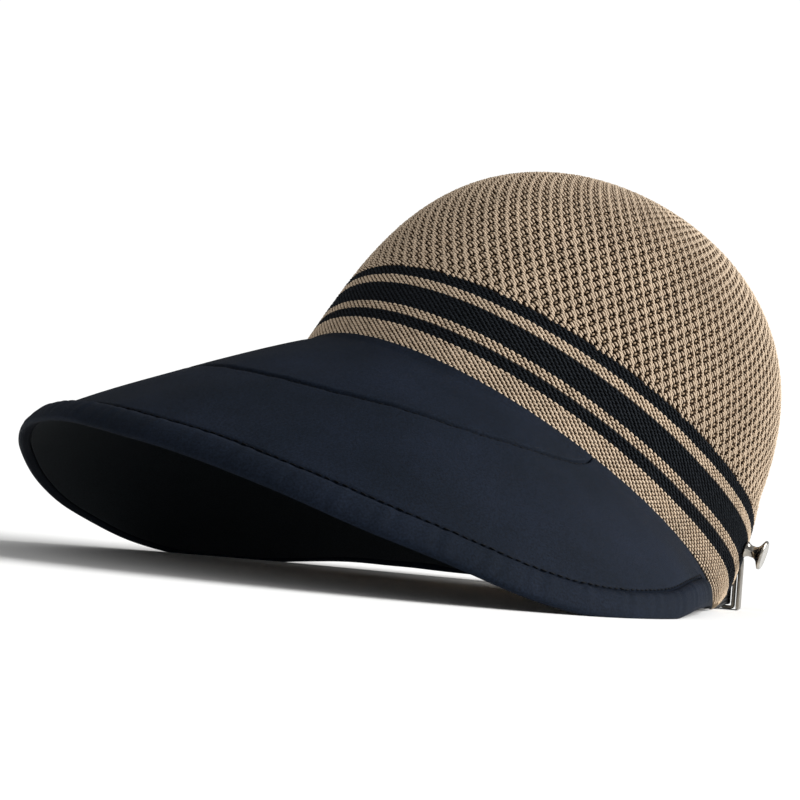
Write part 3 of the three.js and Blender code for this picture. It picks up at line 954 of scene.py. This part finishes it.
def make_sun_cloth():
    """Closely woven navy cotton and polyester: matt, with fine crossing threads, drawn 0.5 mm
    apart so that they show, small lighter slubs and faintly uneven dye."""
    cloth = new_material("navy sun cloth")
    place = on_cloth(cloth)
    warp, weft = [swing(cloth, place.outputs[axis], 2 * math.pi / WEAVE) for axis in ("X", "Y")]
    weave = add_node(cloth, "Math", {0: warp, 1: weft}, operation="MULTIPLY")
    slub = speckle(cloth, 1500)
    tone = add_node(cloth, "ValToRGB", {"Fac": speckle(cloth, 30, detail=4)}, stops=(
        (0.35, NAVY["cloth"]), (0.8, NAVY["worn"])))
    grain = add_node(cloth, "Bump", {"Height": weave, "Distance": 0.05 * MM, "Strength": 0.7})
    slubs = add_node(cloth, "Bump", {"Height": slub, "Distance": 0.08 * MM, "Strength": 0.5,
                                     "Normal": grain})
    return surface(cloth, {"Base Color": vary(cloth, tone, slub, 0.62, 1.4), "Roughness": 0.7,
                           "Specular IOR Level": 0.06, "Normal": slubs})


def make_lining_cloth():
    """Black polyester lining: a dull, even twill that takes in nearly all light."""
    cloth = new_material("black polyester lining")
    slub = speckle(cloth, 1800)
    colour = vary(cloth, linear(LINING_BLACK)[:3], slub, 0.7, 1.3)
    twill = add_node(cloth, "Bump", {"Height": slub, "Distance": 0.06 * MM, "Strength": 0.5})
    return surface(cloth, {"Base Color": colour, "Roughness": 0.8, "Specular IOR Level": 0.2,
                           "Normal": twill})


def smooth_outline(outline, steps):
    """Adds points to an outline's rounded part, on a curve through those given."""
    turned = [i for i, point in enumerate(outline) if point["turned"]]
    first, last = turned[0] - 1, turned[-1]
    fine = np.linspace(0, last - first, steps * (last - first) + 1)
    i = np.clip(fine.astype(int), 0, last - first - 1)
    columns = []
    for key in ("across", "up"):
        value = np.array([point[key] for point in outline[first:last + 1]], float)
        columns.append(curve_value(value, np.gradient(value), i, fine - i))
    rounded = [{"across": a, "up": u, "turned": True} for a, u in zip(*columns)]
    rounded[0]["turned"] = False
    return rounded + outline[last + 1:]


def make_hem_roll(azimuth):
    """The padded hem, drawn in a little at each stitch on both sides of its roll."""
    outline = smooth_outline(HEM_OUTLINE, HEM_CURVE_STEPS)
    across, up, turned = [np.array([point[key] for point in outline])
                          for key in ("across", "up", "turned")]
    size = (hem_width(azimuth) / HEM_WIDTH)[:, None]
    drawn = unevenness(HEM_PUCKERS, azimuth[:, None])
    up = np.where(turned, (up + drawn * (up > 0)) * size, up)
    across = seam_across(azimuth)[:, None] + across * size
    way = HEM_RADIUS * np.radians(azimuth)[:, None] + 0 * across
    return loft(brim_grid(azimuth, across, up), way, across)


navy_cloth = make_sun_cloth()
lining_cloth = make_lining_cloth()

round_crescent = np.linspace(-math.pi / 2, math.pi / 2, STATIONS["crescent"])
turns = CRESCENT_REACH * np.sin(round_crescent)
finish_piece("brim_inner_cloth", "brim_cloth", ["brim_inner_panel"], dress(make_panel(
    turns, BRIM_UNDER_BAND + 0 * turns, crescent_depth(turns) - GAP / 2, 0, PANEL,
    (False, True)), navy_cloth))

turns = np.linspace(-PANEL_END, PANEL_END, STATIONS["panel"])
depth = crescent_depth(turns)
finish_piece("brim_outer_cloth", "brim_cloth", ["brim_outer_panel"], dress(make_panel(
    turns, np.where(depth > 0, depth + GAP / 2, BRIM_UNDER_BAND), seam_across(turns) - GAP / 2,
    0, PANEL, (True, True)), navy_cloth))

short = LINING_SHORT * hem_width(turns) / HEM_WIDTH + GAP
finish_piece("brim_lining_cloth", "lining_cloth", ["brim_lining"], dress(make_panel(
    turns, LINING_UNDER_BAND + 0 * turns, smooth("width", turns) - short, -PANEL - GAP, LINING,
    (False, False)), lining_cloth))

turns = np.linspace(-BRIM_END, BRIM_END, STATIONS["hem"])
hem_roll = finish_piece("brim_hem_roll", "brim_cloth", ["brim_hem"],
                        dress(make_hem_roll(turns), navy_cloth))

# Brim stitching
# Lockstitch in dark thread beside the crescent's seam and along the hem's seam: stitches
# 2.3 mm long, each sunk a little into the cloth.

THREAD = {"length": 2.3, "height": 0.55, "depth": 0.5}
STITCH_PITCH = 2.9
SIDE_STEP = 0.5
STITCH_LINES = table("line offset up reach", [
    ("crescent", 1.1, -0.25, 72),
    ("seam", -1.1, -0.25, 128),
])


def line_across(line, azimuth):
    return crescent_depth(azimuth) if line == "crescent" else seam_across(azimuth)


def stitch_line(line, offset, up, reach):
    """Middles and axes of the stitches along one line round the brim."""
    azimuth = np.linspace(-reach, reach, STATIONS["stitching"])
    size = hem_width(azimuth) / HEM_WIDTH
    across = line_across(line, azimuth) + offset * size
    points = brim_surface(azimuth, across, up * size)
    way = length_along(points)
    middles = np.arange(STITCH_PITCH / 2, way[-1], STITCH_PITCH)
    along = np.gradient(points, axis=1)
    side = brim_surface(azimuth, across - SIDE_STEP, up * size) - points
    out = np.cross(along, side, axis=0)
    picked = []
    for values in (points, along, np.cross(out, along, axis=0), out):
        picked.append(np.stack([np.interp(middles, way, row) for row in values]))
    return picked[0], [unit(axis) for axis in picked[1:]]


def make_thread():
    """Navy polyester thread: dull, and darker than the cloth it lies in."""
    thread = new_material("navy polyester thread")
    ply = speckle(thread, 2500)
    twist = add_node(thread, "Bump", {"Height": ply, "Distance": 0.1 * MM, "Strength": 0.6})
    tone = add_node(thread, "ValToRGB", {"Fac": ply}, stops=(
        (0, NAVY["between"]), (1, NAVY["thread"])))
    return surface(thread, {"Base Color": tone, "Roughness": 0.7, "Specular IOR Level": 0.1,
                            "Normal": twist})


thread_bead = stitch_template(**THREAD)
navy_thread = make_thread()
finish_piece("brim_stitching", "brim_cloth", [], *[
    dress(copy_stitches(thread_bead, *stitch_line(**line)), navy_thread)
    for line in STITCH_LINES])

# Strap
# A black polyester webbing, 17 mm wide, from one end of the band round the back to the
# other, rising over the buckle's lower bar; its edges are rounded and its face is ribbed.

STRAP = {"height": 17, "thickness": 1.8, "corner": 0.72, "inset": 4.8, "steps": 240}
STRAP_ANCHORS = [131, 138, 145]
STRAP_BACK = [(44, 86), (41.5, 93), (32.5, 103), (18, 108), (0, 109.5)]
STRAP_LEAN = {"from": 79, "to": 94}
BUCKLE_PLACE = 0.735
BUCKLE_REACH = {"full": 0.035, "none": 0.09}
BUCKLE_CLEAR = 0.5
BUCKLE = {"length": 7, "height": 20.4, "depth": 5.4, "wall": 1.2}
ROUTE_STEPS = 60
WEFT_SHARE = 0.4
# The rib colour is the webbing's own; the darker colour is painted shade for the hollows between
# ribs.
WEBBING_RIB_AND_SHADE = {"rib": "#0a0b0d", "between": "#030304"}
RIBS = table("axis pitch", [
    ("X", 0.9),
    ("Y", 1.4),
])


def curve_through(knots, steps):
    """A smooth curve through points in the plane, timed by the root of their distances."""
    first, last = 2 * knots[:1] - knots[1:2], 2 * knots[-1:] - knots[-2:-1]
    knots = np.concatenate([first, knots, last])
    t = np.linspace(0, 1, steps, endpoint=False)[:, None]
    parts = []
    for a, b, c, d in zip(knots, knots[1:], knots[2:], knots[3:]):
        ab, bc, cd = [np.linalg.norm(q - p) ** 0.5 for p, q in ((a, b), (b, c), (c, d))]
        start = ((b - a) / ab - (c - a) / (ab + bc) + (c - b) / bc) * bc
        end = ((c - b) / bc - (d - b) / (bc + cd) + (d - c) / cd) * bc
        parts.append(b + start * t + (3 * (c - b) - 2 * start - end) * t ** 2
                     + (2 * (b - c) + start + end) * t ** 3)
    return np.concatenate(parts + [knots[-2:-1]])


def strap_route():
    turn = np.radians(STRAP_ANCHORS)
    anchors = head_point(turn, HEAD_HALF_LENGTH, 0 * turn) - STRAP["inset"] * outward(turn)
    left = np.concatenate([anchors[:2].T, np.array(STRAP_BACK, float)])
    right = left * [-1, 1]
    return curve_through(np.concatenate([right, left[-2::-1]]), ROUTE_STEPS)


route = strap_route()
route_way = length_along(route.T)
strap_length = route_way[-1]
route_way /= strap_length
route_along = np.gradient(route, axis=0)


def strap_axes(share):
    """The strap's lower edge at shares of its length, with the ways up it and out of it."""
    x, y, along_x, along_y = [np.interp(share, route_way, values)
                              for values in (*route.T, *route_along.T)]
    floor_height = (rest_level - y * rest_way[1]) / rest_way[2]
    band_edge = head_point(math.radians(STRAP_ANCHORS[-1]), HEAD_HALF_LENGTH, 0)[2]
    away = smoothstep(np.abs(share - BUCKLE_PLACE), BUCKLE_REACH["full"], BUCKLE_REACH["none"])
    lift = ((BUCKLE["height"] - STRAP["height"]) / 2 + BUCKLE_CLEAR) * (1 - away)
    lean = smoothstep(y, STRAP_LEAN["from"], STRAP_LEAN["to"])
    up = np.array([[0], [0], [1]]) * (1 - lean) + rest_way[:, None] * lean
    up = unit(up)
    out = np.stack([-along_y, along_x, 0 * x])
    out = out - up * (out * up).sum(axis=0)
    foot = np.stack([x, y, np.maximum(floor_height, band_edge) + lift])
    return foot, up, unit(out)


def on_strap(share, section):
    """Points of a section, up and out, at each share along the strap."""
    foot, up, out = strap_axes(share)
    points = (foot[:, :, None] + up[:, :, None] * section[..., 0]
              + out[:, :, None] * section[..., 1])
    return pressed(points.reshape(3, -1)).reshape(points.shape)


def make_strap():
    share = np.linspace(0, 1, STRAP["steps"])
    half = STRAP["thickness"] / 2
    section = rounded_section(-half, half, 0, STRAP["height"], STRAP["corner"], steps=4)
    section = section[:, ::-1]
    way = strap_length * share[:, None] + 0 * section[:, 0]
    return loft(on_strap(share, section), way, section[:, 0] + 0 * way)


def make_webbing():
    """Black polyester webbing: lengthwise ribs 1.4 mm apart, crossed every 0.9 mm by the
    weft, with a low gloss on the tops of the ribs and painted shade, a darker colour, in the hollows
    between them."""
    webbing = new_material("black polyester webbing")
    place = on_cloth(webbing)
    waves = [swing(webbing, place.outputs[ribs["axis"]], math.pi / ribs["pitch"])
             for ribs in RIBS]
    weft, warp = [add_node(webbing, "Math", {0: wave}, operation="ABSOLUTE") for wave in waves]
    rib = add_node(webbing, "Math", {0: weft, 1: WEFT_SHARE, 2: warp},
                   operation="MULTIPLY_ADD")
    # Tops of the ribs keep the webbing's colour; the hollows between are painted darker as shade.
    tone = add_node(webbing, "ValToRGB", {"Fac": rib}, stops=(
        (0, WEBBING_RIB_AND_SHADE["between"]), (1, WEBBING_RIB_AND_SHADE["rib"])))
    relief = add_node(webbing, "Bump", {"Height": rib, "Distance": 0.3 * MM, "Strength": 0.9})
    return surface(webbing, {"Base Color": tone, "Roughness": 0.6, "Specular IOR Level": 0.35,
                             "Normal": relief})


finish_piece("strap_webbing", "strap_webbing", ["strap"], dress(make_strap(), make_webbing()))

# Strap tabs
# A short tongue of dark grey synthetic leather over each end of the strap, its end round
# and its cut edges painted a lighter grey.

TAB = {"length": 0.1, "inset": 0.01, "height": 15, "thickness": 1, "lift": 0.8, "round": 0.3}
TAB_STEPS = 40
TAB_TIP = 0.3
TAB_CORNER = {"most": 0.35, "share": 0.9}
LEATHER = {"face": "#15171a", "edge": "#6d7175"}


def make_tab(tip, root):
    share = tip + (root - tip) * np.linspace(0, 1, TAB_STEPS) ** 2
    face = STRAP["thickness"] / 2 + GAP
    from_tip = np.abs(share - tip) / TAB["length"]
    rounding = np.sqrt(1 - np.maximum(0, 1 - from_tip / TAB["round"]) ** 2)
    half = np.maximum(TAB["height"] / 2 * rounding, TAB_TIP)
    middle = TAB["height"] / 2 + TAB["lift"]
    corners = np.minimum(TAB_CORNER["most"], TAB_CORNER["share"] * half)
    sections = np.array([
        rounded_section(face, face + TAB["thickness"], middle - h, middle + h, corner)[:, ::-1]
        for h, corner in zip(half, corners)])
    way = strap_length * share[:, None] + 0 * sections[..., 0]
    rim = np.abs(sections[..., 0] - middle) / half[:, None]
    return loft(on_strap(share, sections), way, rim)


def make_leather():
    """Dark grey synthetic leather: a fine pebbled grain, satin, with painted edges."""
    leather = new_material("grey synthetic leather")
    rim = on_cloth(leather).outputs["Y"]
    tone = add_node(leather, "ValToRGB", {"Fac": rim}, stops=(
        (0.88, LEATHER["face"]), (0.95, LEATHER["edge"])))
    where = add_node(leather, "TexCoord")
    pebble = add_node(leather, "TexVoronoi", {"Vector": where.outputs["Object"], "Scale": 1600})
    grain = add_node(leather, "Bump", {"Height": pebble, "Distance": 0.08 * MM,
                                       "Strength": 0.5})
    return surface(leather, {"Base Color": tone, "Roughness": 0.45, "Normal": grain})


grey_leather = make_leather()
finish_piece("strap_tongue_left", "tab_leather", ["strap_tab_left"],
             dress(make_tab(1 - TAB["length"], 1 - TAB["inset"]), grey_leather))
finish_piece("strap_tongue_right", "tab_leather", ["strap_tab_right"],
             dress(make_tab(TAB["length"], TAB["inset"]), grey_leather))

# Buckle
# A bent loop of nickel-plated steel round the strap on the wearer's left, with a flat
# plate standing off its outer side; edges are rounded and the plating is brushed.

PLATE = {"length": 15, "height": 20.4, "depth": 1.2}
PLATE_STANDOFF = 4.2
CORNER = {"radius": 1.35, "segments": 5}
EDGE = {"radius": 0.3, "segments": 2}
SMOOTH_TO = {"buckle": math.radians(40), "stud": math.radians(50)}
ALONG = 0.9
BRUSHING = (400, 400, 2500)
SATIN = {"plate": "#8b857b", "worn": "#7b766d"}
BRIGHT = {"plate": "#b9b4aa", "worn": "#8d8a84"}


def pick(piece, kind, wanted):
    """Enters edit mode with just the wanted faces or edges selected."""
    choose(piece)
    bpy.ops.object.mode_set(mode="EDIT")
    bpy.ops.mesh.select_mode(type=kind)
    bpy.ops.mesh.select_all(action="DESELECT")
    bpy.ops.object.mode_set(mode="OBJECT")
    for part in piece.data.polygons if kind == "FACE" else piece.data.edges:
        part.select = wanted(part)
    bpy.ops.object.mode_set(mode="EDIT")


def make_block(size, lengthwise):
    """A block round the origin, its four corners along one axis rounded."""
    block = start_from(bpy.ops.mesh.primitive_cube_add, size=MM)
    bpy.ops.transform.resize(value=(size["length"], size["height"], size["depth"]))
    bpy.ops.object.mode_set(mode="OBJECT")
    points = block.data.vertices

    def runs_along(edge):
        ends = [points[i].co for i in edge.vertices]
        return abs((ends[1] - ends[0]).normalized()[lengthwise]) > ALONG

    pick(block, "EDGE", runs_along)
    bpy.ops.mesh.bevel(offset=CORNER["radius"] * MM, segments=CORNER["segments"], affect="EDGES")
    bpy.ops.object.mode_set(mode="OBJECT")
    return block


def round_edges(piece):
    """Rounds the sharp edges, as tumbling does."""
    rounded = piece.modifiers.new("rounded", "BEVEL")
    rounded.width = EDGE["radius"] * MM
    rounded.segments = EDGE["segments"]
    choose(piece)
    bpy.ops.object.modifier_apply(modifier=rounded.name)
    bpy.ops.object.shade_smooth_by_angle(angle=SMOOTH_TO["buckle"])


def move_onto(piece, middle, axes):
    """Moves a piece modelled round the origin to a point of the hat, along these axes."""
    start = to_row(middle)
    turned = Matrix(np.stack([(to_row(middle + axis) - start) / MM for axis in axes], -1))
    piece.data.transform(Matrix.Translation(start) @ turned.to_4x4())
    return piece


def at_buckle(piece, standoff):
    """Moves a piece to the buckle's place on the strap, this far out from its middle."""
    foot, rise, side = [part[:, 0] for part in strap_axes(np.array([BUCKLE_PLACE]))]
    middle = foot + rise * STRAP["height"] / 2 + side * standoff
    return move_onto(piece, middle, [np.cross(rise, side), rise, side])


def make_loop():
    """The loop: a block whose ends are inset by the wall and bridged right through."""
    loop = make_block(BUCKLE, 0)
    pick(loop, "FACE", lambda face: abs(face.normal.x) > ALONG)
    bpy.ops.mesh.inset(thickness=BUCKLE["wall"] * MM)
    bpy.ops.mesh.bridge_edge_loops()
    face_outwards()
    round_edges(loop)
    return at_buckle(loop, 0)


def make_plate():
    plate = make_block(PLATE, 2)
    round_edges(plate)
    return at_buckle(plate, PLATE_STANDOFF)


def make_nickel(name, colours, roughness):
    """Nickel plate: warm grey, with brushed lines 0.4 mm apart and soft wear."""
    nickel = new_material(name)
    where = add_node(nickel, "TexCoord")
    stretch = add_node(nickel, "Mapping", {"Vector": where.outputs["Object"],
                                           "Scale": BRUSHING})
    brushed = add_node(nickel, "TexNoise", {"Vector": stretch, "Scale": 1, "Detail": 3})
    wear = speckle(nickel, 250, detail=4)
    tone = add_node(nickel, "ValToRGB", {"Fac": wear}, stops=(
        (0.35, colours["worn"]), (0.6, colours["plate"])))
    scratch = add_node(nickel, "Bump", {"Height": brushed, "Distance": 0.03 * MM,
                                        "Strength": 0.4})
    gloss = add_node(nickel, "MapRange", {"Value": wear, "To Min": roughness,
                                          "To Max": roughness + 0.2})
    return surface(nickel, {"Base Color": tone, "Metallic": 1, "Roughness": gloss,
                            "Normal": scratch})


satin_nickel = make_nickel("brushed nickel plate", SATIN, 0.3)
bright_nickel = make_nickel("polished nickel plate", BRIGHT, 0.08)
finish_piece("buckle_loop", "buckle_metal", ["buckle_frame"], dress(make_loop(), satin_nickel))
finish_piece("buckle_cover", "buckle_metal", ["buckle_plate"], dress(make_plate(), satin_nickel))

# Stud
# A spool of turned brass, nickel-plated: its foot is riveted to the band's wide stripe,
# and its waist carries a round head with a shallow, polished face.

STUD_AZIMUTH = 131
STUD_HEIGHT = 21.6
STUD_SIDES = 48
STUD_FOOT = {"radius": 2.9, "height": 0.2}
STUD_RINGS = table("radius height", [
    (3.1, 0.5),
    (3.1, 1),
    (2.6, 1.6),
    (2.2, 2.6),
    (2.2, 4.2),
    (2.6, 5),
    (3.4, 5.7),
    (4.8, 6.4),
    (5.6, 6.85),
    (5.75, 7.2),
    (5.65, 7.6),
    (5.2, 7.95),
    (4.4, 7.9),
    (1, 7.7),
])


def make_stud():
    """The spool: a disc extruded and resized from ring to ring, as on a lathe."""
    stud = start_from(bpy.ops.mesh.primitive_circle_add, vertices=STUD_SIDES,
                      radius=STUD_FOOT["radius"] * MM, fill_type="NGON", location=(0, 0, 0))
    bpy.ops.mesh.select_all(action="SELECT")
    last = STUD_FOOT
    for ring in STUD_RINGS:
        rise = (ring["height"] - last["height"]) * MM
        scale = ring["radius"] / last["radius"]
        bpy.ops.mesh.extrude_region_move(TRANSFORM_OT_translate={"value": (0, 0, rise)})
        bpy.ops.transform.resize(value=(scale, scale, 1))
        last = ring
    face_outwards()
    bpy.ops.object.shade_smooth_by_angle(angle=SMOOTH_TO["stud"])
    azimuth = np.radians([STUD_AZIMUTH])
    out = outward(azimuth)[:, 0]
    seat = head_point(azimuth, np.interp(STUD_HEIGHT, profile_height, profile_radius),
                      np.array([STUD_HEIGHT]))[:, 0]
    return move_onto(stud, seat + out * STUD_FOOT["height"],
                     [np.array([-out[1], out[0], 0]), np.array([0, 0, 1]), out])


finish_piece("stud_spool", "buckle_metal", ["stud"], dress(make_stud(), bright_nickel))
